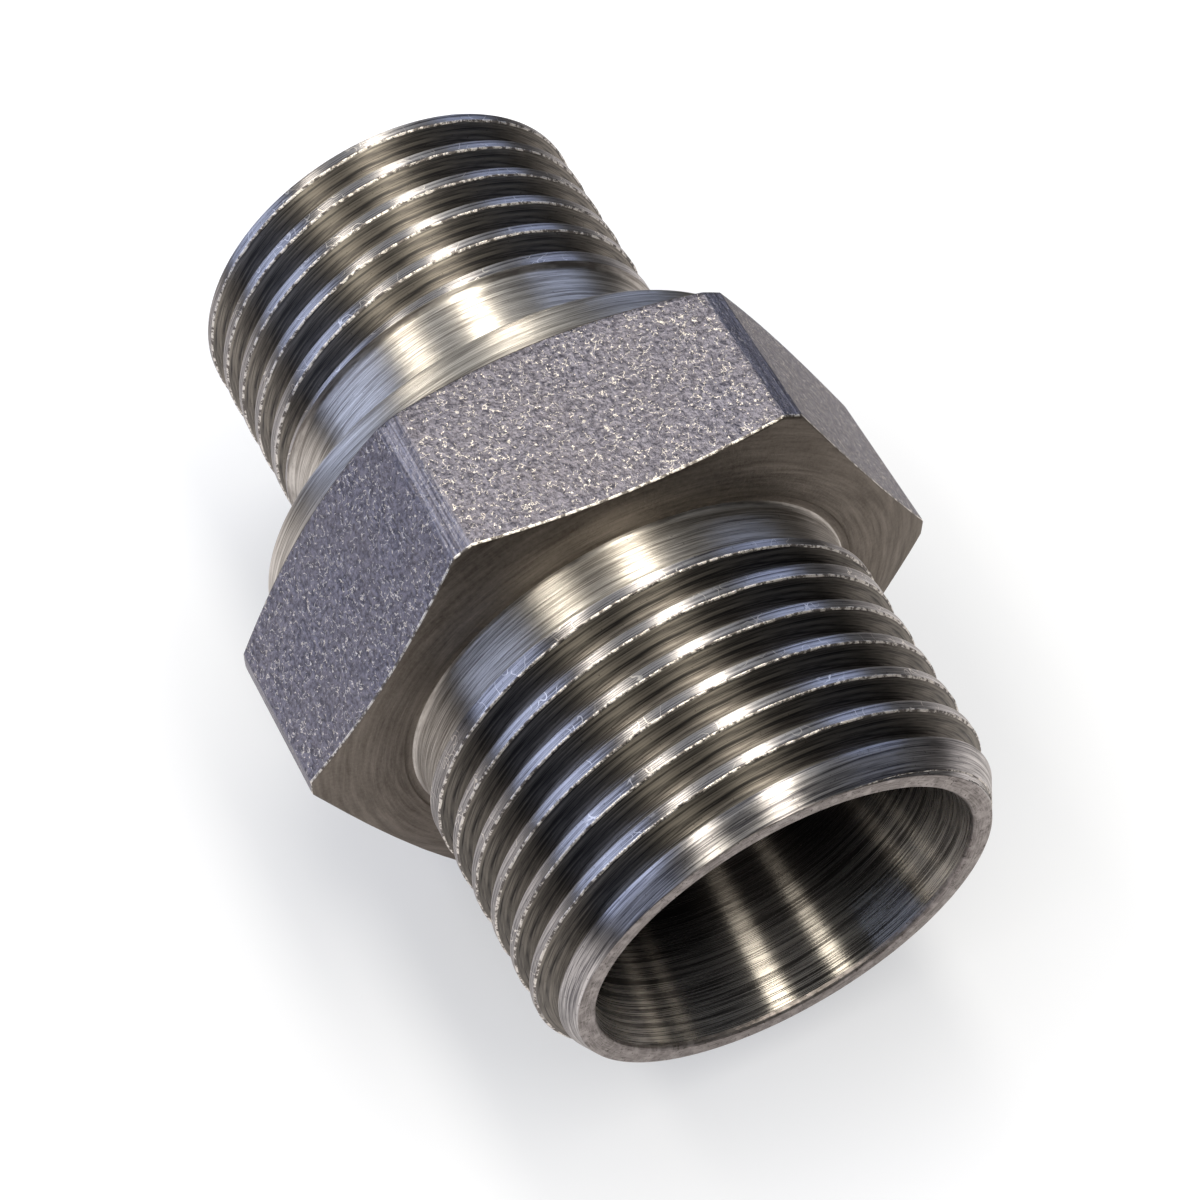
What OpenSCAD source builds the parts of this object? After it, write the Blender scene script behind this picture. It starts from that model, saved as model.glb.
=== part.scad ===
// Straight union fitting, turned from hexagonal steel bar as one piece.
// The axis lies along X. The tube end, with its 24 degree cone, points along +X.
// The stud end, with its sealing collar, points along -X. All sizes are in mm.

/* [Hexagon] */
// Width across the flats
hex_af = 22; // [19:0.5:30]
// Length of each flat, measured at the middle of its width
hex_length = 7; // [5:0.5:16]
// How far each long corner is turned down from a sharp corner
corner_trim = 0.23; // [0.1:0.01:0.6]
// Angle of the turned chamfer on the face toward the tube end
tube_side_chamfer_angle = 15; // [8:1:35]
// Angle of the turned chamfer on the face toward the stud
stud_side_chamfer_angle = 22; // [8:1:35]
// How far the tube side chamfer reaches in from the middle of a flat
face_margin = 0.55; // [0.2:0.05:1.2]

/* [Tube end] */
// Outer diameter of the tube end's thread
tube_thread_d = 18; // [16:0.5:20]
// Pitch of the tube end's thread
tube_pitch = 1.5; // [1:0.25:2]
// Length of the tube end, from the hexagon's face to the end face
tube_end_length = 11.7; // [9:0.1:18]
// How far the smooth neck beside the hexagon lies below the thread's crest
tube_neck_relief = 0.35; // [0.15:0.05:0.8]
// Length of the smooth neck, from the hexagon's face to the thread's first crest
tube_neck_length = 1.9; // [1.2:0.05:4]
// How far the lead chamfer cuts the end face's edge below the crest
tube_lead_depth = 0.9; // [0.3:0.05:1.1]
// Angle of the lead chamfer, measured from the axis
tube_lead_angle = 30; // [20:1:50]
// Width of the flat ring on the end face
end_ring_width = 0.6; // [0.3:0.05:1.2]
// Turn of the tube end's thread about the axis
tube_thread_phase = 8; // [0:1:359]

/* [Stud end] */
// Outer diameter of the stud's thread
stud_thread_d = 16; // [14.5:0.5:18]
// Pitch of the stud's thread
stud_pitch = 1.5; // [1:0.25:2]
// Length of the stud, from the collar's sealing face to the end face
stud_length = 12.3; // [10:0.1:18]
// How far the smooth neck beside the collar lies below the thread's crest
stud_neck_relief = 0.25; // [0.1:0.05:0.8]
// Length of the smooth neck, from the sealing face to the thread's last crest
stud_neck_length = 4; // [2:0.1:6]
// How far the lead chamfer cuts the end face's edge below the crest
stud_lead_depth = 0.35; // [0.2:0.05:1.1]
// Angle of the lead chamfer, measured from the axis
stud_lead_angle = 45; // [20:1:50]
// Length of the collar, from the middle of a flat's edge to its sealing face
collar_length = 1.6; // [0.8:0.1:3]
// How far the collar lies inside the flats
collar_margin = 0.4; // [0.2:0.05:1]
// Turn of the stud's thread about the axis
stud_thread_phase = 282; // [0:1:359]

/* [Thread form] */
// Width of the flat land on top of the thread
crest_land = 0.4; // [0.15:0.05:0.6]
// Width of the flat at the bottom of the groove
root_flat = 0.12; // [0.05:0.01:0.25]
// Angle between the two flanks
flank_angle = 60; // [50:1:65]
// Turns over which the groove fades out beside a neck
fade_turns = 0.5; // [0.2:0.1:1.2]

/* [Bore] */
// Full angle of the cone in the tube end
cone_angle = 24; // [20:1:30]
// Diameter of the tube socket behind the cone
socket_d = 12; // [10:0.1:12.8]
// Length of the straight tube socket between the cone and its shoulder
socket_length = 1.6; // [0.8:0.1:4]
// Diameter of the passage through the hexagon and the stud
bore_d = 9; // [6:0.1:9.9]
// Bevel round the passage's mouth in the stud's end face
bore_bevel = 0.5; // [0.2:0.1:1]
// Bevel round the cone's mouth
mouth_bevel = 0.1; // [0.05:0.05:0.3]

/* [Edges] */
// Radius of the fillet between a neck and the face beside it
neck_fillet = 0.2; // [0.1:0.05:0.8]
// Depth of the turned recess round the tube end's neck
recess_depth = 0.05; // [0.05:0.05:0.3]
// Width of that recess outside the fillet
recess_width = 0.25; // [0.1:0.05:0.5]
// Bevel on the collar's outer edge
collar_bevel = 0.2; // [0.05:0.05:0.4]
// Angle of the ramp from a neck up to the thread's crest, measured from the axis
ramp_angle = 60; // [25:1:70]

/* [Hidden] */
$fn = 96;
segments_per_turn = 40;
overlap = 0.2;

// Hexagon and collar
hex_inner_r = hex_af / 2;
hex_outer_r = hex_inner_r / cos(30);
corner_r = hex_outer_r - corner_trim;
corner_rise = corner_r - hex_inner_r;
collar_r = hex_inner_r - collar_margin;
tube_face_r = hex_inner_r - face_margin;

// Places along the axis, with the middle of the hexagon at zero
hex_face = hex_length / 2 + face_margin * tan(tube_side_chamfer_angle);
tube_corner_edge = hex_length / 2 - corner_rise * tan(tube_side_chamfer_angle);
stud_corner_edge = -hex_length / 2 + corner_rise * tan(stud_side_chamfer_angle);
collar_start = -hex_length / 2 - collar_margin * tan(stud_side_chamfer_angle);
sealing_face = -hex_length / 2 - collar_length;
tube_end = hex_face + tube_end_length;
stud_end = sealing_face - stud_length;
tube_thread_start = hex_face + tube_neck_length;
stud_thread_stop = sealing_face - stud_neck_length;

// Thread and neck radii
tube_crest_r = tube_thread_d / 2;
tube_neck_r = tube_crest_r - tube_neck_relief;
tube_end_r = tube_crest_r - tube_lead_depth;
tube_lead = tube_lead_depth / tan(tube_lead_angle);
tube_ramp = tube_neck_relief / tan(ramp_angle);
stud_crest_r = stud_thread_d / 2;
stud_neck_r = stud_crest_r - stud_neck_relief;
stud_end_r = stud_crest_r - stud_lead_depth;
stud_lead = stud_lead_depth / tan(stud_lead_angle);
stud_ramp = stud_neck_relief / tan(ramp_angle);

// Turned recess at the foot of the tube end's neck
recess_floor = hex_face - recess_depth;
recess_r = tube_neck_r + neck_fillet + recess_width;

// Bore
socket_r = socket_d / 2;
bore_r = bore_d / 2;
cone_mouth_r = tube_end_r - end_ring_width - mouth_bevel;
cone_bottom = tube_end - (cone_mouth_r - socket_r) / tan(cone_angle / 2);
socket_bottom = cone_bottom - socket_length;

// Depth of a groove whose flanks leave the stated land and root flat
function groove_depth(pitch) = (pitch - crest_land - root_flat) / 2 / tan(flank_angle / 2);

// Hexagonal bar with its long corners turned down
module hexagonal_bar() {
    translate([0, 0, stud_end - overlap])
        linear_extrude(height = tube_end - stud_end + 2 * overlap)
            intersection() {
                rotate(30)
                    circle(r = hex_outer_r, $fn = 6);
                circle(r = corner_r);
            }
}

// Fillet in the outline where a neck meets a wall, on the +X or -X side of the wall
module neck_corner(neck_r, wall, side) {
    far = wall + side * neck_fillet;
    difference() {
        translate([neck_r - overlap, side > 0 ? wall - overlap : far])
            square(neck_fillet + overlap);
        translate([neck_r + neck_fillet, far])
            circle(r = neck_fillet);
    }
}

// Outline of the turned surface, from the stud's end face to the tube's end face
module turned_outline() {
    polygon([
        [0, stud_end],
        [stud_end_r, stud_end],
        [stud_crest_r, stud_end + stud_lead],
        [stud_crest_r, stud_thread_stop],
        [stud_neck_r, stud_thread_stop + stud_ramp],
        [stud_neck_r, sealing_face],
        [collar_r - collar_bevel, sealing_face],
        [collar_r, sealing_face + collar_bevel],
        [collar_r, collar_start],
        [corner_r, stud_corner_edge],
        [corner_r, tube_corner_edge],
        [tube_face_r, hex_face],
        [recess_r, hex_face],
        [recess_r - recess_depth, recess_floor],
        [tube_neck_r, recess_floor],
        [tube_neck_r, tube_thread_start - tube_ramp],
        [tube_crest_r, tube_thread_start],
        [tube_crest_r, tube_end - tube_lead],
        [tube_end_r, tube_end],
        [0, tube_end]
    ]);
    neck_corner(stud_neck_r, sealing_face, -1);
    neck_corner(tube_neck_r, recess_floor, 1);
}

// Outline of everything that is bored out
module bored_outline() {
    polygon([
        [0, stud_end - overlap],
        [bore_r + bore_bevel + overlap, stud_end - overlap],
        [bore_r, stud_end + bore_bevel],
        [bore_r, socket_bottom],
        [socket_r, socket_bottom],
        [socket_r, cone_bottom],
        [cone_mouth_r - mouth_bevel * tan(cone_angle / 2), tube_end - mouth_bevel],
        [cone_mouth_r + mouth_bevel + overlap, tube_end + overlap],
        [0, tube_end + overlap]
    ]);
}

// Cutter for one helical groove of a right-hand thread
// It winds from start for a number of turns, and the fades lift it out of the metal at either end
module helical_groove(crest_r, pitch, start, turns, phase, fade_in, fade_out) {
    rise = crest_land / 3;
    depth = groove_depth(pitch);
    root_half = root_flat / 2;
    top_half = root_half + (depth + rise) * tan(flank_angle / 2);
    section = [
        [crest_r - depth, -root_half],
        [crest_r - depth, root_half],
        [crest_r + rise, top_half],
        [crest_r + rise, -top_half]
    ];
    steps = ceil(turns * segments_per_turn);
    function faded(t) = max(0, fade_in > 0 ? 1 - t / fade_in : 0, fade_out > 0 ? 1 - (turns - t) / fade_out : 0);
    points = [
        for (i = [0:steps], corner = section)
            let (t = turns * i / steps, r = corner[0] + faded(t) * (depth + rise), a = phase + 360 * t)
            [r * cos(a), r * sin(a), start + pitch * t + corner[1]]
    ];
    walls = [
        for (i = [0:steps - 1], k = [0:3])
            let (a = 4 * i + k, b = 4 * i + (k + 1) % 4)
            each [[a, a + 4, b], [b, a + 4, b + 4]]
    ];
    last = 4 * steps;
    caps = [[0, 1, 2], [0, 2, 3], [last, last + 2, last + 1], [last, last + 3, last + 2]];
    polyhedron(points = points, faces = concat(walls, caps), convexity = 10);
}

// Groove of the tube end's thread, from its fade beside the neck to past the end face
module tube_groove() {
    start = tube_thread_start + crest_land / 2;
    turns = (tube_end - start) / tube_pitch + 0.8;
    helical_groove(tube_crest_r, tube_pitch, start, turns, tube_thread_phase, fade_turns, 0);
}

// Groove of the stud's thread, from before its end face to its fade beside the neck
module stud_groove() {
    start = stud_end - 0.8 * stud_pitch;
    turns = (stud_thread_stop - start) / stud_pitch;
    helical_groove(stud_crest_r, stud_pitch, start, turns, stud_thread_phase, 0, fade_turns);
}

// The whole fitting: hexagonal bar, turned outside, bored inside, then threaded
module union_body() {
    color("lightsteelblue")
        rotate([0, 90, 0])
            difference() {
                intersection() {
                    hexagonal_bar();
                    rotate_extrude()
                        turned_outline();
                }
                rotate_extrude()
                    bored_outline();
                tube_groove();
                stud_groove();
            }
}

union_body();
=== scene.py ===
"""Straight union fitting: dressed model, studio and camera.

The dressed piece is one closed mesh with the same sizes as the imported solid. It adds what a steel
fitting shows close up: rounded thread roots, torn burrs on the crests, broken edges and surfaces
that were turned, threaded or blasted. Sizes are in millimetres until the mesh is made.
"""

import math
from collections import Counter

import bpy
import numpy as np
from mathutils import Matrix, Vector


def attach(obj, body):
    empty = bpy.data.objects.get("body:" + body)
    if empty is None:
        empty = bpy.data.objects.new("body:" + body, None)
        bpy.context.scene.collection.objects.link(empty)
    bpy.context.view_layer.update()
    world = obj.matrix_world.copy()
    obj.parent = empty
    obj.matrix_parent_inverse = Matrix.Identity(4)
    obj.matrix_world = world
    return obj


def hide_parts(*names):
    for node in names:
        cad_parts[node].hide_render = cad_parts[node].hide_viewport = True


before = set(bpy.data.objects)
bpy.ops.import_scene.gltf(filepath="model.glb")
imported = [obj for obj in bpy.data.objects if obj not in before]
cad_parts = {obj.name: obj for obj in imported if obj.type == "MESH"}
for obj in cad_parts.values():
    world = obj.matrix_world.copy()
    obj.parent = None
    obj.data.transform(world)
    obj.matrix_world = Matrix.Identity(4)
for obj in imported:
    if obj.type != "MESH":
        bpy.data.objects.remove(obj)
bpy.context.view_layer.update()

MM = 0.001

# Hexagon and collar
HEX_AF = 22.0
HEX_LENGTH = 7.0
CORNER_TRIM = 0.231
FACE_MARGIN = 0.55
COLLAR_MARGIN = 0.4
COLLAR_LENGTH = 1.6
COLLAR_BEVEL = 0.2
FAR_SLOPE = math.tan(math.radians(22))
NEAR_SLOPE = math.tan(math.radians(15))
FLAT_R = HEX_AF / 2
CORNER_R = FLAT_R / math.cos(math.radians(30)) - CORNER_TRIM
CORNER_HALF = math.degrees(math.pi / 6 - math.acos(FLAT_R / CORNER_R))
FAR_EDGE = -HEX_LENGTH / 2
NEAR_EDGE = HEX_LENGTH / 2
COLLAR_R = FLAT_R - COLLAR_MARGIN
COLLAR_START = FAR_EDGE - COLLAR_MARGIN * FAR_SLOPE
SEALING_FACE = FAR_EDGE - COLLAR_LENGTH
FACE_R = FLAT_R - FACE_MARGIN
HEX_FACE = NEAR_EDGE + FACE_MARGIN * NEAR_SLOPE

# Thread form
PITCH = 1.5
CREST_LAND = 0.4
ROOT_HALF = 0.06
FLANK = math.tan(math.radians(30))
DEPTH = (PITCH - CREST_LAND - 2 * ROOT_HALF) / 2 / FLANK
RISE = CREST_LAND / 3
FADE_TURNS = 0.5
OVERRUN_TURNS = 0.8
RAMP_SLOPE = math.tan(math.radians(60))

# Rounded bottom of the groove, which ends where its slope is that of the flank
ROOT_ROUND = 0.12
ROUND_HALF = ROOT_ROUND * 0.866
ROOT_EDGE = 0.104
ROOT_QUARTER = 0.055

# Rows beside the edges of a land, and the torn burr along its far edge
BEFORE_CREST = 0.02
PAST_CREST = 0.03
TEAR_WIDTH = 0.13
TEAR_SWING = 0.012
LIP_BACK = 0.045
LIP_OVER = 0.006
LIP_DROP = 0.012
BURR_LEAST = 0.006
BURR_SPREAD = 0.026
# How often a span is halved to find where a flank meets the blank
HALVINGS = 28

# Tube end
TUBE_CREST_R = 9.0
TUBE_NECK_R = TUBE_CREST_R - 0.35
TUBE_END = HEX_FACE + 11.7
TUBE_START = HEX_FACE + 1.9
TUBE_END_R = TUBE_CREST_R - 0.9
TUBE_LEAD_SLOPE = math.tan(math.radians(30))
TUBE_LEAD = (TUBE_CREST_R - TUBE_END_R) / TUBE_LEAD_SLOPE
TUBE_RAMP = (TUBE_CREST_R - TUBE_NECK_R) / RAMP_SLOPE
TUBE_GROOVE = TUBE_START + CREST_LAND / 2
TUBE_PHASE = 8.0

# Stud end
STUD_CREST_R = 8.0
STUD_NECK_R = STUD_CREST_R - 0.25
STUD_END = SEALING_FACE - 12.3
STUD_STOP = SEALING_FACE - 4.0
STUD_END_R = STUD_CREST_R - 0.35
STUD_LEAD_SLOPE = 1.0
STUD_LEAD = (STUD_CREST_R - STUD_END_R) / STUD_LEAD_SLOPE
STUD_RAMP = (STUD_CREST_R - STUD_NECK_R) / RAMP_SLOPE
STUD_GROOVE = STUD_END - OVERRUN_TURNS * PITCH
STUD_PHASE = 282.0

# Bore
BORE_R = 4.5
BORE_BEVEL = 0.5
SOCKET_R = 6.0
SOCKET_LENGTH = 1.6
CONE_SLOPE = math.tan(math.radians(12))
END_RING = 0.6
MOUTH_BEVEL = 0.1
MOUTH_R = TUBE_END_R - END_RING - MOUTH_BEVEL
CONE_BOTTOM = TUBE_END - (MOUTH_R - SOCKET_R) / CONE_SLOPE
SOCKET_BOTTOM = CONE_BOTTOM - SOCKET_LENGTH

# Recess and fillets
FILLET = 0.2
RECESS = 0.05
RECESS_WIDTH = 0.25
RECESS_FLOOR = HEX_FACE - RECESS
RECESS_R = TUBE_NECK_R + FILLET + RECESS_WIDTH

# Distance of a row that keeps the shading of a long surface flat beside a rounded edge
HOLD = 0.05
# Distance of a thread's first or last row from the end face or the ramp beside it
LEAD_STEP = 0.03
# How far a thread's blank is drawn on past its crest, toward the neck
BEYOND = 1.0
# How far the torn near edge of a flat fills its corner out at least, and how much more at most
EDGE_BURR_LEAST = 0.008
EDGE_BURR_SPREAD = 0.012
# Small round along a flat's far edge: its length along the flat, and its drop
ROUND_LENGTH = 0.035
ROUND_DROP = 0.008
# Torn near edge of a flat: its length and drop on the flat, and the place of its foot on the face
TORN_LENGTH = 0.09
TORN_DROP = 0.004
FOOT_PAST = 0.004
FOOT_DROP = 0.03

# Columns of points over one flat and over one corner strip, and degrees kept free beside their edges
FLAT_COLUMNS = 60
STRIP_COLUMNS = 5
EDGE_GAP = 0.25


def turn_nodes():
    """Angles about the axis, from +Y toward +Z, closer together at the corner strips."""
    half = math.degrees(math.acos(FLAT_R / CORNER_R))
    nodes = []
    for sector in range(6):
        middle = 30 + 60 * sector
        nodes.append(middle - half)
        nodes += list(np.linspace(middle - half + EDGE_GAP, middle + half - EDGE_GAP, FLAT_COLUMNS))
        nodes.append(middle + half)
        nodes += list(np.linspace(middle + half + EDGE_GAP, middle + 60 - half - EDGE_GAP, STRIP_COLUMNS))
    return np.array(nodes)


ANGLES = turn_nodes()
COLUMNS = len(ANGLES)
HEX_R = np.minimum(FLAT_R / np.cos(np.radians((ANGLES % 60) - 30)), CORNER_R)


def smooth_noise(seed, points, spread):
    """Repeatable noise along a closed ring, about -1 to 1, with a given number of bumps."""
    rng = np.random.default_rng(1000 + seed)
    knots = rng.uniform(-1, 1, spread)
    place = np.asarray(points) % 360 / 360 * spread
    low = np.floor(place).astype(int)
    t = place - low
    t = t * t * (3 - 2 * t)
    return knots[low % spread] * (1 - t) + knots[(low + 1) % spread] * t


class Skin:
    """Rows of points round the axis, and the surface between them."""

    def __init__(self):
        self.x = []
        self.r = []
        self.zone = []
        self.wrap = []

    def row(self, x, r, zone):
        """One row, whose place and radius are numbers or one value for each angle."""
        self.x.append(np.broadcast_to(x, COLUMNS).astype(float))
        self.r.append(np.broadcast_to(r, COLUMNS).astype(float))
        self.zone.append(zone)
        self.wrap.append(len(self.wrap))

    def line(self, points, zone):
        """Rows along an outline of (place, radius) points."""
        for x, r in points:
            self.row(x, r, zone)

    def helical_rows(self, rows, per_turn, zone):
        """Rows that wind along a groove, each joined at its end to the row of the next turn."""
        first = len(self.x)
        last = first + len(rows)
        for i, (x, r, torn) in enumerate(rows):
            self.row(x, r, "burr" if torn else zone)
            self.wrap[-1] = min(first + i + per_turn, last)

    def build(self, name, slots):
        """The closed mesh, without the folded faces that clipped rows leave."""
        x = np.array(self.x)
        r = np.array(self.r)
        a = np.radians(ANGLES)
        points = np.stack([x, r * np.cos(a), r * np.sin(a)], axis=-1)
        count = len(self.x)
        ids = np.arange(count * COLUMNS).reshape(count, COLUMNS)
        quads = []
        zones = []
        for i in range(count):
            k = (i + 1) % count
            right_i = np.append(ids[i, 1:], ids[self.wrap[i], 0])
            right_k = np.append(ids[k, 1:], ids[self.wrap[k], 0])
            quads.append(np.stack([ids[i], right_i, right_k, ids[k]], axis=-1))
            zones += [self.zone[i]] * COLUMNS
        quads = np.concatenate(quads)
        flat = points.reshape(-1, 3)
        rounded = np.round(flat, 5)
        _, first, same = np.unique(rounded, axis=0, return_index=True, return_inverse=True)
        verts = flat[first] * MM
        quads = same.reshape(-1)[quads]
        outlines = [[v for n, v in enumerate(quad) if v != quad[n - 1]] for quad in quads.tolist()]
        whole = [len(face) > 2 and len(set(face)) == len(face) for face in outlines]
        sharing = Counter(tuple(sorted(face)) for face, ok in zip(outlines, whole) if ok)
        faces = []
        kept = []
        for face, ok, zone in zip(outlines, whole, zones):
            if ok and sharing[tuple(sorted(face))] == 1:
                faces.append(face)
                kept.append(zone)
        mesh = bpy.data.meshes.new(name)
        mesh.from_pydata(verts.tolist(), [], faces)
        order = list(slots)
        for slot in order:
            mesh.materials.append(slots[slot])
        mesh.polygons.foreach_set("material_index", [order.index(zone) for zone in kept])
        mesh.polygons.foreach_set("use_smooth", [True] * len(faces))
        mesh.validate()
        mesh.update()
        piece = bpy.data.objects.new(name, mesh)
        bpy.context.scene.collection.objects.link(piece)
        return piece


def softened(points, cut):
    """The outline with each inner corner replaced by three points of a small round."""
    out = [points[0]]
    for before, corner, after in zip(points, points[1:], points[2:]):
        corner = np.array(corner)
        back = np.array(before) - corner
        ahead = np.array(after) - corner
        back_length = np.linalg.norm(back)
        ahead_length = np.linalg.norm(ahead)
        size = min(cut, back_length * 0.4, ahead_length * 0.4)
        p = corner + back / back_length * size
        q = corner + ahead / ahead_length * size
        out += [tuple(p), tuple((p + q + 2 * corner) / 4), tuple(q)]
    out.append(points[-1])
    return out


def fillet(neck_r, wall, side, steps=4):
    """Points of a neck's fillet, from the neck up to the wall."""
    points = []
    for i in range(steps + 1):
        a = math.pi / 2 * i / steps
        points.append((wall + side * FILLET * (1 - math.sin(a)), neck_r + FILLET * (1 - math.cos(a))))
    return points


class Thread:
    """A threaded length: the outline of its blank, with one winding groove cut into it."""

    def __init__(self, blank, start, phase, turns, fade_in, fade_out, seed, fine):
        self.blank_x = np.array([p[0] for p in blank])
        self.blank_r = np.array([p[1] for p in blank])
        self.root = self.blank_r.max() - DEPTH
        self.start = start
        self.phase = phase
        self.turns = turns
        self.fade_in = fade_in
        self.fade_out = fade_out
        self.seed = seed
        self.fine = fine

    def surface(self, x):
        """Radius of the blank."""
        return np.interp(x, self.blank_x, self.blank_r)

    def centre(self, k):
        """Place of the groove's middle at each angle, in turn number k."""
        return self.start + PITCH * (ANGLES - (self.phase - 90)) / 360 + PITCH * k

    def lift(self, x):
        """How far the fades lift the groove out of the metal."""
        t = (x - self.start) / PITCH
        rise = np.zeros_like(t)
        if self.fade_in:
            rise = np.maximum(rise, 1 - t / self.fade_in)
        if self.fade_out:
            rise = np.maximum(rise, 1 - (self.turns - t) / self.fade_out)
        return np.maximum(rise, 0) * (DEPTH + RISE)

    def flank(self, s, x):
        """Radius of the groove with a flat bottom, at a distance s from its middle x."""
        return self.root + self.lift(x) + np.maximum(0, np.abs(s) - ROOT_HALF) / FLANK

    def edge(self, x, side):
        """Distance from the groove's middle to where its flank meets the blank, by halving."""
        near = np.full(COLUMNS, ROOT_HALF)
        far = np.full(COLUMNS, PITCH / 2 - 0.01)
        for _ in range(HALVINGS):
            middle = (near + far) / 2
            above = self.flank(middle, x) > self.surface(x + side * middle)
            far = np.where(above, middle, far)
            near = np.where(above, near, middle)
        return (near + far) / 2

    def groove(self, s, x):
        """Radius of the groove with a rounded bottom, or of the blank where that is lower."""
        inside = np.clip(np.abs(s), 0, ROUND_HALF)
        bottom = self.root - ROOT_HALF / FLANK + 2 * ROOT_ROUND - np.sqrt(ROOT_ROUND ** 2 - inside ** 2)
        cut = np.where(np.abs(s) > ROUND_HALF, self.flank(s, x), bottom + self.lift(x))
        return np.minimum(cut, self.surface(x + s))

    def section(self, x):
        """Radius at each angle where a plane cuts the threaded length."""
        reach = PITCH / 2 - 0.05
        outline = self.surface(np.full(COLUMNS, x))
        turn = (x - self.start) / PITCH
        for k in range(math.floor(turn) - 2, math.ceil(turn) + 3):
            s = x - self.centre(k)
            cut = np.minimum(outline, self.groove(s, self.centre(k)))
            outline = np.where(np.abs(s) < reach, cut, outline)
        return outline

    def land(self, start, end):
        """Places across a land, the nearest moved onto a corner of the blank that falls within it."""
        shares = (0.35, 0.6) if self.fine else (0.5,)
        places = [start + (end - start) * share for share in shares]
        for corner in self.blank_x[1:-1]:
            nearest = np.abs(np.array(places) - corner).argmin(axis=0)
            inside = (start < corner) & (corner < end)
            for n, place in enumerate(places):
                places[n] = np.where(inside & (nearest == n), corner, place)
        return places

    def burr(self, k, torn_edge, reach):
        """Height of the torn burr, which dies away where the groove is shallow."""
        torn = 0.5 + 0.5 * smooth_noise(self.seed + 7 * k + 1, ANGLES, 150)
        ragged = 0.5 + 0.5 * smooth_noise(self.seed + 7 * k + 2, ANGLES, 37)
        height = BURR_LEAST + BURR_SPREAD * torn ** 2 * ragged
        height = height * np.clip((self.surface(torn_edge) - self.root) / 0.5, 0, 1)
        return height * np.clip((reach - ROOT_HALF) / 0.3, 0, 1)

    def turn(self, k):
        """One turn's rows as (place, radius, torn), from a groove's bottom over the land to the next."""
        x = self.centre(k)
        following = self.centre(k + 1)
        reach = self.edge(x, 1)
        reach_back = self.edge(following, -1) + TEAR_SWING * smooth_noise(self.seed + 3 * k, ANGLES, 90)
        offsets = (-ROOT_EDGE, -ROOT_QUARTER, 0.0, ROOT_QUARTER, ROOT_EDGE)
        rows = []
        for s in offsets if self.fine else offsets[::2]:
            s = np.clip(s, -self.edge(x, -1), reach)
            rows.append((x + s, self.groove(s, x), False))
        for s in ((ROOT_EDGE + reach) / 2, reach - BEFORE_CREST):
            rows.append((x + s, self.groove(s, x), False))
        land_start = x + reach + PAST_CREST
        torn_edge = following - reach_back
        land_end = torn_edge - TEAR_WIDTH
        for place in [land_start, *self.land(land_start, land_end), land_end]:
            rows.append((place, self.surface(place), False))
        burr = self.burr(k, torn_edge, reach_back)
        lip = torn_edge - LIP_BACK
        rows.append((lip, self.surface(lip) + burr, True))
        if self.fine:
            lip = torn_edge + LIP_OVER
            rows.append((lip, self.surface(lip) + burr * 0.7 - LIP_DROP, True))
        for s in (reach_back - PAST_CREST, (ROOT_EDGE + reach_back) / 2):
            rows.append((following - s, self.groove(-s, following), False))
        return rows

    def rows(self, low, high):
        """All rows between two planes, and how many of them make one turn."""
        low_section = self.section(low)
        high_section = self.section(high)
        first = math.floor((low - self.start) / PITCH) - 2
        last = math.ceil((high - self.start) / PITCH) + 2
        rows = []
        for k in range(first, last + 1):
            turn = self.turn(k)
            for place, radius, torn in turn:
                radius = np.where(place < low, low_section, radius)
                radius = np.where(place > high, high_section, radius)
                rows.append((np.clip(place, low, high), radius, torn))
        return rows, len(turn)


def add_stud_thread(skin):
    """The stud's end face with its bore's bevel, and its thread, whose groove breaks through the face."""
    blank = [
        (STUD_END, STUD_END_R),
        (STUD_END + STUD_LEAD, STUD_CREST_R),
        (STUD_STOP + BEYOND, STUD_CREST_R),
    ]
    turns = (STUD_STOP - STUD_GROOVE) / PITCH
    thread = Thread(blank, STUD_GROOVE, STUD_PHASE, turns, 0, FADE_TURNS, seed=11, fine=False)
    notched = thread.section(STUD_END + LEAD_STEP)
    inner_r = BORE_R + 1.5
    bevel = [(STUD_END + BORE_BEVEL, BORE_R), (STUD_END, BORE_R + BORE_BEVEL), (STUD_END, inner_r)]
    skin.line([(STUD_END + BORE_BEVEL, BORE_R)], "bore")
    skin.line(softened(bevel, 0.03)[1:], "end_face")
    for share in (0.4, 0.8):
        skin.row(STUD_END, inner_r + (notched - inner_r) * share, "end_face")
    skin.row(STUD_END, notched - 0.03, "end_face")
    skin.row(STUD_END + 0.01, notched - 0.01, "end_face")
    skin.helical_rows(*thread.rows(STUD_END + LEAD_STEP, STUD_STOP), "stud_thread")


def add_stud_neck(skin):
    """Ramp down from the stud's thread, its smooth neck and the fillet beside the sealing face."""
    ramp = softened([
        (STUD_STOP, STUD_CREST_R),
        (STUD_STOP + 0.01, STUD_CREST_R),
        (STUD_STOP + STUD_RAMP, STUD_NECK_R),
        (SEALING_FACE - FILLET - HOLD, STUD_NECK_R),
    ], 0.12)
    skin.line(ramp[:-1], "neck")
    skin.row(ramp[-2][0] + HOLD, STUD_NECK_R, "neck")
    skin.line(ramp[-1:], "neck")
    skin.line(fillet(STUD_NECK_R, SEALING_FACE, -1), "neck")


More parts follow.
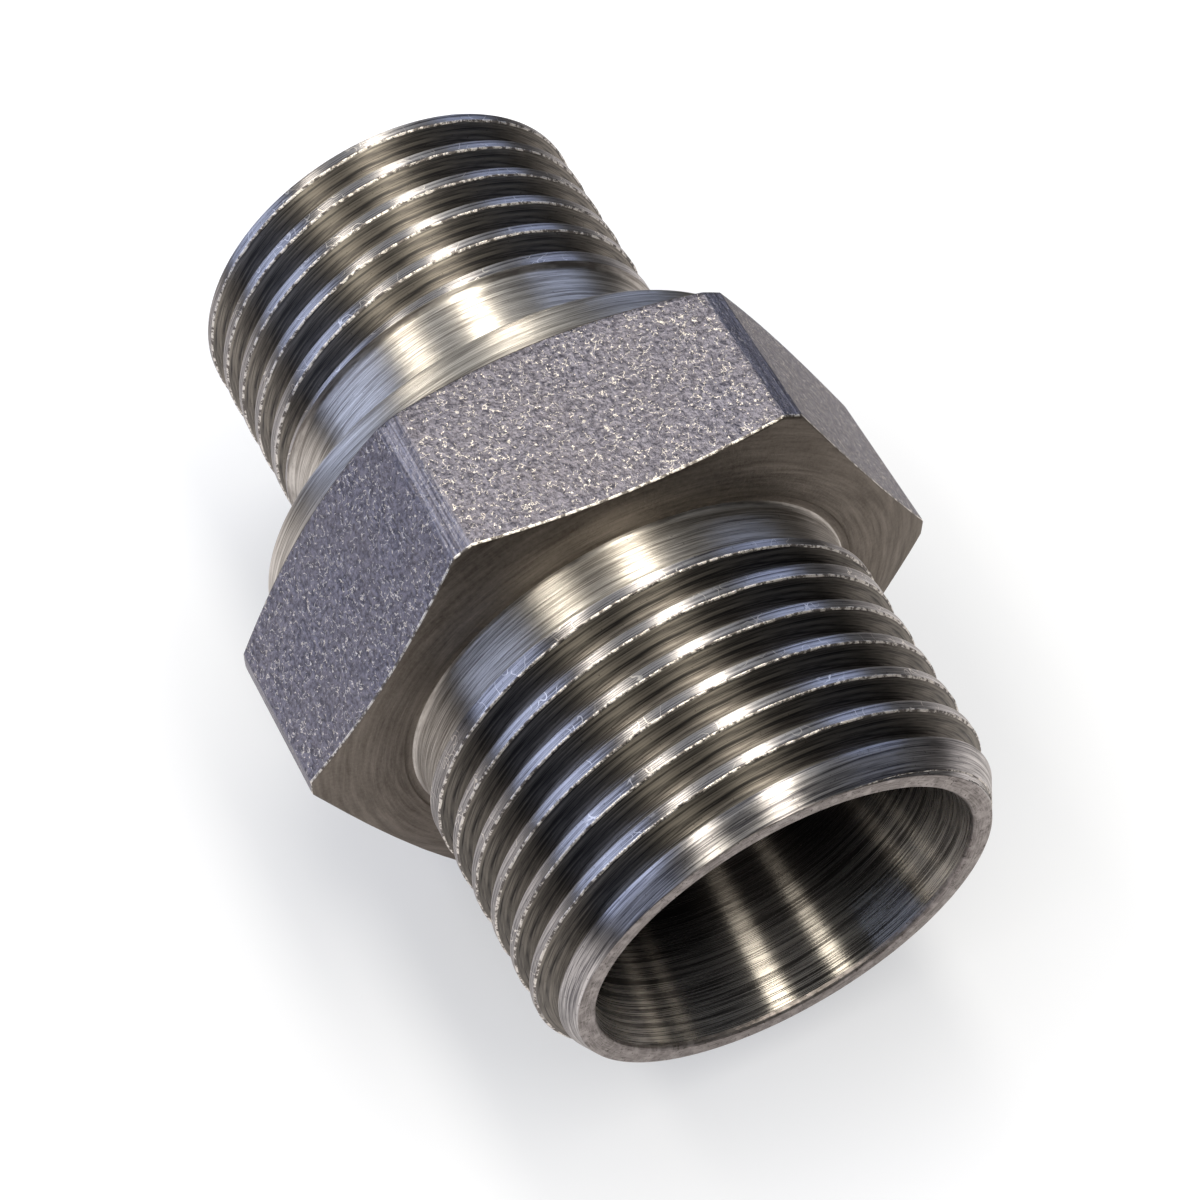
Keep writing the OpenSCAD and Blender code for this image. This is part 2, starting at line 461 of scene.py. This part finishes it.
def add_collar(skin):
    """Sealing face and turned collar."""
    cut = 0.06
    bevel_r = COLLAR_R - COLLAR_BEVEL
    skin.row(SEALING_FACE, STUD_NECK_R + FILLET + HOLD, "end_face")
    skin.row(SEALING_FACE, bevel_r - cut - HOLD, "end_face")
    collar = softened([
        (SEALING_FACE, STUD_NECK_R + FILLET),
        (SEALING_FACE, bevel_r),
        (SEALING_FACE + COLLAR_BEVEL, COLLAR_R),
        (COLLAR_START, COLLAR_R),
    ], cut)
    skin.line(collar[1:], "collar")


def add_hexagon(skin):
    """Far chamfer, flats and near chamfer, which meet the hexagon where it stands at each angle."""
    far = COLLAR_START + (HEX_R - COLLAR_R) * FAR_SLOPE
    near = HEX_FACE - (HEX_R - FACE_R) * NEAR_SLOPE
    for share in (0.06, 0.5, 0.94):
        r = COLLAR_R + (HEX_R - COLLAR_R) * share
        skin.row(COLLAR_START + (r - COLLAR_R) * FAR_SLOPE, r, "hex_face")
    skin.row(far + ROUND_LENGTH, HEX_R - ROUND_DROP, "flats")
    for share in (0.03, 0.35, 0.65, 0.97):
        skin.row(far + (near - far) * share, HEX_R, "flats")
    burr = EDGE_BURR_LEAST + EDGE_BURR_SPREAD * np.clip(smooth_noise(5, ANGLES, 130), 0, 1)
    skin.row(near - TORN_LENGTH, HEX_R - TORN_DROP, "burr")
    skin.row(near + FOOT_PAST, HEX_R - FOOT_DROP + burr, "hex_face")
    for share in (0.07, 0.35, 0.7, 1.0):
        r = HEX_R - (HEX_R - FACE_R) * share
        skin.row(HEX_FACE - (r - FACE_R) * NEAR_SLOPE, r, "hex_face")


def add_tube_neck(skin):
    """Recess in the hexagon's face, the tube end's neck and the ramp up to its thread."""
    recess = softened([
        (HEX_FACE, FACE_R),
        (HEX_FACE, RECESS_R),
        (RECESS_FLOOR, RECESS_R - RECESS),
        (RECESS_FLOOR, TUBE_NECK_R + FILLET),
    ], 0.03)
    ramp = softened([
        (RECESS_FLOOR + FILLET, TUBE_NECK_R),
        (TUBE_START - TUBE_RAMP, TUBE_NECK_R),
        (TUBE_START, TUBE_CREST_R),
        (TUBE_START + LEAD_STEP, TUBE_CREST_R),
    ], 0.08)
    skin.line(recess[1:], "hex_face")
    skin.line(fillet(TUBE_NECK_R, RECESS_FLOOR, 1)[::-1][1:], "neck")
    skin.row(RECESS_FLOOR + FILLET + HOLD, TUBE_NECK_R, "neck")
    skin.row(ramp[1][0] - HOLD, TUBE_NECK_R, "neck")
    skin.line(ramp[1:], "neck")


def add_tube_thread(skin):
    """The tube end's thread, its lead chamfer and the flat ring round the mouth."""
    blank = [
        (TUBE_START - BEYOND, TUBE_CREST_R),
        (TUBE_END - TUBE_LEAD, TUBE_CREST_R),
        (TUBE_END, TUBE_END_R),
    ]
    turns = (TUBE_END - TUBE_GROOVE) / PITCH + OVERRUN_TURNS
    thread = Thread(blank, TUBE_GROOVE, TUBE_PHASE, turns, FADE_TURNS, 0, seed=211, fine=True)
    skin.helical_rows(*thread.rows(TUBE_START + LEAD_STEP, TUBE_END - LEAD_STEP), "tube_thread")
    ring = softened([
        (TUBE_END - LEAD_STEP, TUBE_END_R + LEAD_STEP * TUBE_LEAD_SLOPE),
        (TUBE_END, TUBE_END_R),
        (TUBE_END, MOUTH_R + MOUTH_BEVEL),
        (TUBE_END - MOUTH_BEVEL, MOUTH_R),
        (CONE_BOTTOM, SOCKET_R),
    ], 0.03)
    skin.line(ring[:-1], "end_face")


def add_bore(skin):
    """The cone, the tube socket with its shoulder and the passage."""
    mouth = TUBE_END - MOUTH_BEVEL
    for share in (0.02, 0.5, 0.98):
        skin.row(mouth + (CONE_BOTTOM - mouth) * share, MOUTH_R + (SOCKET_R - MOUTH_R) * share, "bore")
    bore = softened([
        (mouth, MOUTH_R),
        (CONE_BOTTOM, SOCKET_R),
        (SOCKET_BOTTOM, SOCKET_R),
        (SOCKET_BOTTOM, BORE_R),
        (STUD_END + BORE_BEVEL, BORE_R),
    ], 0.04)
    skin.line(bore[1:-1], "bore")
    skin.row(STUD_END + 2 * BORE_BEVEL, BORE_R, "bore")


def build_body(slots):
    """The whole fitting as one closed skin, from the stud's bore round to the same place."""
    skin = Skin()
    add_stud_thread(skin)
    add_stud_neck(skin)
    add_collar(skin)
    add_hexagon(skin)
    add_tube_neck(skin)
    add_tube_thread(skin)
    add_bore(skin)
    return skin.build("union_body_skin", slots)


class Nodes:
    """Short calls for building one material's nodes."""

    def __init__(self, name):
        self.material = bpy.data.materials.new(name)
        self.material.use_nodes = True
        self.tree = self.material.node_tree
        self.tree.nodes.clear()
        self.output = self.tree.nodes.new("ShaderNodeOutputMaterial")

    def new(self, kind, inputs=None, **settings):
        """A node with its settings, and with a value or a link in each named input."""
        node = self.tree.nodes.new(kind)
        for key, value in settings.items():
            setattr(node, key, value)
        for key, value in (inputs or {}).items():
            self.put(node.inputs[key], value)
        return node

    def put(self, socket, value):
        """A link into the socket, or a value set on it."""
        if isinstance(value, bpy.types.NodeSocket):
            self.tree.links.new(value, socket)
        else:
            socket.default_value = value

    def blend(self, a, share, b):
        """Weighted mean of two values, with the given share of the first."""
        return self.math("ADD", self.math("MULTIPLY", a, share), self.math("MULTIPLY", b, 1 - share))

    def math(self, operation, a, b=0.0, c=0.0):
        """Result of one math node, whose inputs are numbers or outputs of other nodes."""
        node = self.new("ShaderNodeMath", operation=operation)
        self.put(node.inputs[0], a)
        self.put(node.inputs[1], b)
        self.put(node.inputs[2], c)
        return node.outputs[0]

    def vector(self, x, y, z):
        """A vector of three values."""
        return self.new("ShaderNodeCombineXYZ", {0: x, 1: y, 2: z}).outputs[0]

    def noise(self, vector, scale=1.0, detail=3.0, roughness=0.55, w=None):
        """Noise from 0 to 1, with scale changes a millimetre where the vector is in millimetres."""
        kind = "3D" if w is None else "4D"
        node = self.new("ShaderNodeTexNoise", noise_dimensions=kind)
        self.put(node.inputs["Vector"], vector)
        if w is not None:
            self.put(node.inputs["W"], w)
        node.inputs["Scale"].default_value = scale
        node.inputs["Detail"].default_value = detail
        node.inputs["Roughness"].default_value = roughness
        return node.outputs["Fac"]

    def span(self, value, low, high, to_low=0.0, to_high=1.0, smooth=False):
        """The value's way from low to high, given as a number from to_low to to_high."""
        node = self.new("ShaderNodeMapRange")
        node.interpolation_type = "SMOOTHSTEP" if smooth else "LINEAR"
        node.clamp = True
        self.put(node.inputs["Value"], value)
        node.inputs["From Min"].default_value = low
        node.inputs["From Max"].default_value = high
        node.inputs["To Min"].default_value = to_low
        node.inputs["To Max"].default_value = to_high
        return node.outputs["Result"]

    def mix(self, factor, a, b):
        """Colour a where the factor is 0, and b where it is 1."""
        node = self.new("ShaderNodeMix", data_type="RGBA")
        self.put(node.inputs[0], factor)
        self.put(node.inputs[6], a)
        self.put(node.inputs[7], b)
        return node.outputs[2]

    def bump(self, height, distance, strength=1.0, normal=None):
        """Normal of a relief whose full height is the distance, in metres."""
        node = self.new("ShaderNodeBump")
        node.inputs["Strength"].default_value = strength
        node.inputs["Distance"].default_value = distance
        self.put(node.inputs["Height"], height)
        if normal is not None:
            self.put(node.inputs["Normal"], normal)
        return node.outputs["Normal"]

    def metal(self, color, roughness, normal, anisotropy=0.0):
        """Bare metal, whose highlight is drawn out across the turning marks by the anisotropy."""
        shader = self.new("ShaderNodeBsdfPrincipled")
        shader.inputs["Metallic"].default_value = 1.0
        if anisotropy:
            shader.inputs["Anisotropic"].default_value = anisotropy
            shader.inputs["Anisotropic Rotation"].default_value = 0.25
            tangent = self.new("ShaderNodeTangent", direction_type="RADIAL", axis="X")
            self.put(shader.inputs["Tangent"], tangent.outputs[0])
        self.put(shader.inputs["Base Color"], color)
        self.put(shader.inputs["Roughness"], roughness)
        if normal is not None:
            self.put(shader.inputs["Normal"], normal)
        self.tree.links.new(shader.outputs[0], self.output.inputs[0])
        return self.material


class Lathe:
    """Coordinates of a turned surface, in millimetres: along the axis, radius, and round it."""

    def __init__(self, n):
        self.n = n
        place = n.new("ShaderNodeTexCoord").outputs["Object"]
        scaled = n.new("ShaderNodeVectorMath", operation="SCALE")
        n.put(scaled.inputs[0], place)
        scaled.inputs["Scale"].default_value = 1000.0
        self.place = scaled.outputs[0]
        split = n.new("ShaderNodeSeparateXYZ")
        n.put(split.inputs[0], self.place)
        self.x, self.y, self.z = split.outputs
        squares = n.math("ADD", n.math("MULTIPLY", self.y, self.y), n.math("MULTIPLY", self.z, self.z))
        self.r = n.math("SQRT", squares)
        self.cos = n.math("DIVIDE", self.y, self.r)
        self.sin = n.math("DIVIDE", self.z, self.r)

    def from_corner(self):
        """Degrees round the axis from the nearest long corner of the hexagon."""
        n = self.n
        angle = n.math("ARCTAN2", self.z, self.y)
        sixths = n.math("FRACT", n.math("MULTIPLY_ADD", angle, 3 / math.pi, 6.0))
        return n.math("MULTIPLY", n.math("PINGPONG", sixths, 0.5), 60.0)

    def rings(self, around, along, seed=0.0, detail=3.0, roughness=0.6):
        """Noise drawn out round the axis: few changes round it, many along it or across a face."""
        n = self.n
        across = along * 0.83
        run = n.math("ADD", n.math("MULTIPLY", self.x, along), n.math("MULTIPLY", self.r, across))
        u = n.math("MULTIPLY", self.cos, around)
        v = n.math("MULTIPLY_ADD", self.sin, around, seed)
        return n.noise(n.vector(u, v, run), 1.0, detail, roughness)

    def phase(self, start):
        """Angle within one turn of the thread, which stays the same along the groove."""
        n = self.n
        angle = n.math("ARCTAN2", self.z, self.y)
        run = n.math("SUBTRACT", self.x, start)
        return n.math("SUBTRACT", n.math("MULTIPLY", run, 2 * math.pi / PITCH), angle)

    def winding(self, around, along, start, seed=0.0, detail=3.0, roughness=0.6):
        """Noise drawn out along the thread's groove."""
        n = self.n
        phase = self.phase(start)
        size = along * PITCH / 2 / math.pi
        u = n.math("MULTIPLY", self.cos, around)
        v = n.math("MULTIPLY_ADD", self.sin, around, seed)
        across = n.math("MULTIPLY", n.math("COSINE", phase), size)
        deep = n.math("MULTIPLY", n.math("SINE", phase), size)
        return n.noise(n.vector(u, v, across), 1.0, detail, roughness, w=deep)


# Colours of the metal, in pairs from the dark to the bright marks
LAND = ((0.15, 0.147, 0.165, 1), (0.72, 0.71, 0.74, 1))
# Painted shade at the bottom of the thread's groove
GROOVE_BOTTOM_SHADE = ((0.08, 0.072, 0.068, 1), (0.36, 0.34, 0.32, 1))
TORN = ((0.20, 0.185, 0.18, 1), (0.97, 0.94, 0.91, 1))
NECK = ((0.30, 0.28, 0.265, 1), (0.84, 0.82, 0.80, 1))
FACE = ((0.12, 0.104, 0.09, 1), (0.32, 0.29, 0.262, 1))
FLATS = ((0.095, 0.094, 0.125, 1), (0.36, 0.352, 0.425, 1))
CORNER_STRIP = ((0.09, 0.09, 0.12, 1), (0.38, 0.385, 0.47, 1))
BORE = ((0.07, 0.066, 0.064, 1), (0.64, 0.622, 0.605, 1))
END = ((0.14, 0.128, 0.125, 1), (0.40, 0.375, 0.38, 1))
NICK = (0.95, 0.92, 0.90, 1)
WORM = (0.95, 0.90, 0.84, 1)
CLOUD = (0.27, 0.24, 0.24, 1)
END_PATCH = (0.52, 0.49, 0.50, 1)
# Painted shade deep in the cone
BORE_DEPTH_SHADE = (0.045, 0.041, 0.039, 1)
THREAD_PIT = (0.06, 0.05, 0.045, 1)
NECK_PIT = (0.05, 0.04, 0.035, 1)
END_PIT = (0.05, 0.042, 0.038, 1)

# Colours of the floor and the surroundings
WHITE = (1, 1, 1, 1)
WARM_WHITE = (1.0, 0.84, 0.70, 1)


def thread_steel(name, start, crest, end, end_r, slope, dark, light):
    """Threaded metal, streaked along the groove: bright lands, and painted shade in the grooves, darkest
    on the flanks and half bright at the groove bottoms.
    """
    n = Nodes(name)
    lathe = Lathe(n)
    streaks = lathe.winding(1.6, 13.0, start, 1.0, 4.0, 0.7)
    fine = lathe.winding(3.5, 30.0, start, 5.0, 3.0, 0.7)
    wear = n.noise(lathe.place, 0.9, 4.0, 0.6)
    pits = n.noise(lathe.place, 9.0, 3.0, 0.6)
    tone = n.blend(streaks, 0.5, fine)
    blank = n.math("MULTIPLY_ADD", n.math("SUBTRACT", lathe.x, end), slope, end_r)
    below = n.math("SUBTRACT", n.math("MINIMUM", blank, crest), lathe.r)
    land = n.mix(n.span(tone, 0.43, 0.57), *LAND)
    crack = n.math("ABSOLUTE", n.math("SUBTRACT", n.noise(lathe.place, 1.7, 1.0, 0.5), 0.5))
    struck = n.noise(lathe.place, 0.8, 2.0, 0.5, w=2.0)
    nicks = n.math("MULTIPLY", n.span(crack, 0.006, 0.016, 1.0, 0.0), n.span(struck, 0.5, 0.56))
    nicks = n.math("MULTIPLY", nicks, n.span(lathe.r, crest - 0.08, crest - 0.02))
    land = n.mix(nicks, land, NICK)
    # Flanks and groove bottoms take darker colours by their depth below the crest: painted shade in the
    # grooves. dark and light give the flanks' painted shade.
    low = (dark, dark * 0.97, dark, 1)
    high = (light, light * 0.94, light * 0.86, 1)
    flank = n.mix(n.span(tone, 0.42, 0.58), low, high)
    bottom = n.mix(n.span(tone, 0.42, 0.58), *GROOVE_BOTTOM_SHADE)
    color = n.mix(n.span(below, DEPTH - 0.28, DEPTH - 0.05, 0, 1, True), flank, bottom)
    color = n.mix(n.span(below, 0.015, 0.06), land, color)
    color = n.mix(n.span(pits, 0.64, 0.74, 0.0, 0.7), color, THREAD_PIT)
    roughness = n.math("ADD", n.span(tone, 0.3, 0.7, 0.26, 0.36), n.span(wear, 0.45, 0.7, 0.0, 0.08))
    roughness = n.math("ADD", roughness, n.span(below, 0.015, 0.06, 0.0, 0.13))
    normal = n.bump(streaks, 0.00003, 0.5)
    normal = n.bump(fine, 0.00001, 0.5, normal)
    return n.metal(color, roughness, normal, 0.95)


def torn_steel(name):
    """Bright torn metal along an edge, with darker gaps."""
    n = Nodes(name)
    lathe = Lathe(n)
    torn = n.noise(lathe.place, 3.2, 4.0, 0.7)
    grain = n.noise(lathe.place, 14.0, 2.0, 0.6)
    color = n.mix(n.span(torn, 0.45, 0.54), *TORN)
    roughness = n.span(grain, 0.35, 0.65, 0.36, 0.58)
    normal = n.bump(grain, 0.00003, 1.0)
    return n.metal(color, roughness, normal)


def neck_steel(name):
    """Bright turned metal with fine rings and few pits."""
    n = Nodes(name)
    lathe = Lathe(n)
    wide = lathe.rings(1.2, 6.0, 2.0, 4.0, 0.65)
    fine = lathe.rings(3.0, 20.0, 7.0, 4.0, 0.7)
    pits = n.noise(lathe.place, 8.0, 3.0, 0.6)
    tone = n.blend(wide, 0.45, fine)
    color = n.mix(n.span(tone, 0.42, 0.58), *NECK)
    color = n.mix(n.span(pits, 0.68, 0.76, 0.0, 0.6), color, NECK_PIT)
    roughness = n.span(tone, 0.3, 0.7, 0.30, 0.40)
    normal = n.bump(wide, 0.00004, 1.0)
    normal = n.bump(fine, 0.00002, 1.0, normal)
    return n.metal(color, roughness, normal, 0.88)


def face_steel(name):
    """Dull brownish turned metal of the hexagon's chamfered faces."""
    n = Nodes(name)
    lathe = Lathe(n)
    wide = lathe.rings(4.0, 7.0, 4.0, 4.0, 0.65)
    grain = n.noise(lathe.place, 6.0, 5.0, 0.65)
    tone = n.blend(wide, 0.6, grain)
    color = n.mix(n.span(tone, 0.35, 0.68), *FACE)
    roughness = n.span(grain, 0.3, 0.7, 0.42, 0.6)
    normal = n.bump(wide, 0.00005, 0.5)
    normal = n.bump(grain, 0.00004, 0.4, normal)
    return n.metal(color, roughness, normal)


def blasted_steel(name):
    """Etched mottle of the flats, with short bright worms, and a drawn strip along each long corner."""
    n = Nodes(name)
    lathe = Lathe(n)
    cells = n.noise(lathe.place, 4.8, 3.0, 0.6)
    grain = n.noise(lathe.place, 10.0, 3.0, 0.7)
    winding = n.noise(lathe.place, 4.0, 2.0, 0.5)
    winding = n.math("ABSOLUTE", n.math("SUBTRACT", winding, 0.5))
    broken = n.noise(lathe.place, 5.5, 2.0, 0.5, w=3.0)
    worms = n.math("MULTIPLY", n.span(winding, 0.008, 0.026, 1.0, 0.0), n.span(broken, 0.5, 0.56))
    cloud = n.noise(lathe.place, 0.5, 3.0, 0.5)
    tone = n.blend(cells, 0.5, grain)
    color = n.mix(n.span(tone, 0.40, 0.60), *FLATS)
    color = n.mix(n.span(cloud, 0.35, 0.7, 0.0, 0.22), color, CLOUD)
    color = n.mix(worms, color, WORM)
    along = n.math("MULTIPLY", lathe.x, 0.3)
    across = [n.math("MULTIPLY", part, 9.0) for part in (lathe.y, lathe.z)]
    drawn = n.noise(n.vector(along, *across), 1.0, 4.0, 0.7)
    strip = n.mix(n.span(drawn, 0.4, 0.6), *CORNER_STRIP)
    on_strip = n.span(lathe.from_corner(), CORNER_HALF - 0.2, CORNER_HALF + 0.35, 1.0, 0.0)
    color = n.mix(n.math("MULTIPLY", on_strip, 0.65), color, strip)
    roughness = n.math("SUBTRACT", n.span(grain, 0.35, 0.65, 0.34, 0.56), n.math("MULTIPLY", worms, 0.1))
    normal = n.bump(cells, 0.00009, 0.8)
    normal = n.bump(grain, 0.00004, 0.9, normal)
    return n.metal(color, roughness, normal)


def bore_steel(name):
    """Finely turned metal of the cone, with painted shade that darkens it deeper in."""
    n = Nodes(name)
    lathe = Lathe(n)
    wide = lathe.rings(1.1, 6.0, 3.0, 4.0, 0.6)
    fine = lathe.rings(1.8, 26.0, 6.0, 3.0, 0.6)
    tone = n.blend(wide, 0.4, fine)
    color = n.mix(n.span(tone, 0.42, 0.58), *BORE)
    # Painted shade, darker deeper in the cone
    painted_shade_depth = n.span(lathe.x, TUBE_END - 5.0, TUBE_END - 0.6, 0.9, 0.0, True)
    color = n.mix(painted_shade_depth, color, BORE_DEPTH_SHADE)
    roughness = n.span(tone, 0.3, 0.7, 0.24, 0.30)
    normal = n.bump(fine, 0.00001, 0.5)
    return n.metal(color, roughness, normal, 1.0)


def end_steel(name):
    """Flat end faces with faint rings, pale patches and dark pits."""
    n = Nodes(name)
    lathe = Lathe(n)
    fine = lathe.rings(8.0, 24.0, 9.0, 4.0, 0.7)
    pits = n.noise(lathe.place, 7.0, 4.0, 0.65)
    patches = n.noise(lathe.place, 2.2, 4.0, 0.6)
    color = n.mix(n.span(fine, 0.35, 0.65), *END)
    color = n.mix(n.span(patches, 0.48, 0.62, 0.0, 0.6), color, END_PATCH)
    color = n.mix(n.span(pits, 0.58, 0.68, 0.0, 0.85), color, END_PIT)
    roughness = n.span(pits, 0.3, 0.7, 0.3, 0.48)
    normal = n.bump(pits, 0.00003, 0.4)
    normal = n.bump(fine, 0.00001, 0.5, normal)
    return n.metal(color, roughness, normal)


def softbox(name, direction, distance, width, length, radiance, color):
    """A lamp facing the fitting, long along the axis, with its brightness given as radiance."""
    lamp = bpy.data.lights.new(name, "AREA")
    lamp.shape = "RECTANGLE"
    lamp.size = width
    lamp.size_y = length
    lamp.color = color
    lamp.energy = radiance * math.pi * width * length
    thing = bpy.data.objects.new(name, lamp)
    bpy.context.scene.collection.objects.link(thing)
    away = Vector(direction).normalized()
    along = (Vector((1, 0, 0)) - away.x * away).normalized()
    turn = Matrix((along.cross(away), along, away)).transposed().to_4x4()
    thing.matrix_world = Matrix.Translation(away * distance) @ turn


def floor_paper():
    """The floor's material: white away from the fitting, with painted shade from a weaker glow close round
    it, and seen by the metal only near it.

    Distances are in metres from the middle of the hexagon.
    """
    n = Nodes("floor_paper")
    rays = n.new("ShaderNodeLightPath").outputs
    place = n.new("ShaderNodeTexCoord").outputs["Object"]
    distance = n.new("ShaderNodeVectorMath", {0: place}, operation="LENGTH").outputs["Value"]
    near = n.span(distance, 0.022, 0.09, 1.0, 0.05, True)
    mirrored = n.math("MAXIMUM", rays["Is Glossy Ray"], rays["Is Transmission Ray"])
    in_metal = n.math("MULTIPLY", n.math("MULTIPLY", mirrored, near), 0.6)
    shown = n.math("MAXIMUM", rays["Is Camera Ray"], in_metal)
    lit = n.math("MULTIPLY", n.math("MAXIMUM", n.math("SUBTRACT", 1.0, mirrored), near), 0.46)
    red = n.math("MULTIPLY", lit, 0.94)
    blue = n.math("MULTIPLY", lit, 1.12)
    tint = n.new("ShaderNodeCombineColor", {0: red, 1: lit, 2: blue})
    paper = n.new("ShaderNodeBsdfDiffuse", {"Color": tint.outputs[0]})
    glow = n.new("ShaderNodeEmission", {"Color": n.mix(mirrored, WHITE, WARM_WHITE)})
    # Weaker glow close to the fitting: painted shade round it, which deepens its shadow
    close = n.span(distance, 0.012, 0.037, 0.38, 0.74)
    far = n.span(distance, 0.07, 0.25, 0.4, 1.0)
    n.put(glow.inputs["Strength"], n.math("MULTIPLY", shown, n.math("MAXIMUM", close, far)))
    both = n.new("ShaderNodeAddShader", {0: paper.outputs[0], 1: glow.outputs[0]})
    n.tree.links.new(both.outputs[0], n.output.inputs[0])
    return n.material


def make_floor():
    """Pale floor under the lower flat, which takes the fitting's shadow."""
    mesh = bpy.data.meshes.new("floor")
    side = 0.6
    level = -FLAT_R * MM
    corners = [(-side, -side, level), (side, -side, level), (side, side, level), (-side, side, level)]
    mesh.from_pydata(corners, [], [(0, 1, 2, 3)])
    mesh.materials.append(floor_paper())
    floor = bpy.data.objects.new("floor", mesh)
    bpy.context.scene.collection.objects.link(floor)


def make_camera():
    """The photo's view, as fitted to the threads, the mouth and both ends."""
    camera = bpy.data.cameras.new("camera")
    camera.sensor_width = 36.0
    camera.lens = 93.146
    camera.clip_start = 0.005
    place = Vector((55.417, -28.775, 95.723)) * MM
    ahead = Vector((-0.480652, 0.254327, -0.839221)).normalized()
    right = Vector((0.454153, 0.890869, 0.009869))
    right = (right - right.dot(ahead) * ahead).normalized()
    up = right.cross(ahead)
    turn = Matrix((right, up, -ahead)).transposed().to_4x4()
    thing = bpy.data.objects.new("camera", camera)
    thing.matrix_world = Matrix.Translation(place) @ turn
    bpy.context.scene.collection.objects.link(thing)
    bpy.context.scene.camera = thing


def make_lights():
    """Two long warm lamps overhead, a dim ceiling behind them and a cool fill on each side."""
    warm = (1.0, 0.91, 0.75)
    softbox("key", (0.0, 0.15, 0.98), 0.4, 0.08, 0.58, 9.0, warm)
    softbox("second_key", (0.0, -0.48, 0.86), 0.4, 0.06, 0.58, 7.0, warm)
    softbox("ceiling", (-0.48, 0.0, 0.88), 0.45, 0.50, 0.28, 0.45, (0.90, 0.94, 1.0))
    softbox("left_fill", (-0.35, -0.90, 0.34), 0.5, 0.36, 0.6, 1.35, (0.63, 0.72, 1.0))
    softbox("right_fill", (-0.42, 0.80, 0.45), 0.5, 0.24, 0.26, 1.0, (0.52, 0.64, 1.0))


def make_world():
    """Dim surroundings, brighter above and behind the stud, and plain white to the camera."""
    world = bpy.data.worlds.new("studio")
    world.use_nodes = True
    tree = world.node_tree
    background = tree.nodes["Background"]
    background.inputs["Color"].default_value = WHITE
    sky = tree.nodes.new("ShaderNodeTexCoord")
    toward = tree.nodes.new("ShaderNodeVectorMath")
    toward.operation = "DOT_PRODUCT"
    toward.inputs[1].default_value = (-0.6, 0.0, 0.8)
    tree.links.new(sky.outputs["Generated"], toward.inputs[0])
    level = tree.nodes.new("ShaderNodeMapRange")
    level.inputs["From Min"].default_value = -0.5
    level.inputs["From Max"].default_value = 0.9
    level.inputs["To Min"].default_value = 0.012
    level.inputs["To Max"].default_value = 0.22
    tree.links.new(toward.outputs["Value"], level.inputs["Value"])
    rays = tree.nodes.new("ShaderNodeLightPath")
    seen = tree.nodes.new("ShaderNodeMath")
    seen.operation = "MAXIMUM"
    tree.links.new(rays.outputs["Is Camera Ray"], seen.inputs[0])
    tree.links.new(level.outputs["Result"], seen.inputs[1])
    tree.links.new(seen.outputs[0], background.inputs["Strength"])
    bpy.context.scene.world = world


def make_slots():
    """The material of each zone of the skin."""
    tube = TUBE_GROOVE - PITCH * (TUBE_PHASE - 90) / 360
    stud = STUD_GROOVE - PITCH * (STUD_PHASE - 90) / 360
    tube_blank = (TUBE_CREST_R, TUBE_END, TUBE_END_R, -TUBE_LEAD_SLOPE)
    stud_blank = (STUD_CREST_R, STUD_END, STUD_END_R, STUD_LEAD_SLOPE)
    return {
        # The last two numbers set the flanks' painted shade, lighter on the stud
        "tube_thread": thread_steel("thread_steel_tube", tube, *tube_blank, 0.05, 0.30),
        "stud_thread": thread_steel("thread_steel_stud", stud, *stud_blank, 0.10, 0.42),
        "burr": torn_steel("torn_steel"),
        "neck": neck_steel("neck_steel"),
        "collar": neck_steel("collar_steel"),
        "hex_face": face_steel("face_steel"),
        "flats": blasted_steel("blasted_steel"),
        "end_face": end_steel("end_face_steel"),
        "bore": bore_steel("bore_steel"),
    }


def main():
    body = build_body(make_slots())
    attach(body, "root")
    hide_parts("union_body")
    make_floor()
    make_camera()
    make_lights()
    make_world()
    bpy.context.scene.view_settings.view_transform = "Standard"


main()
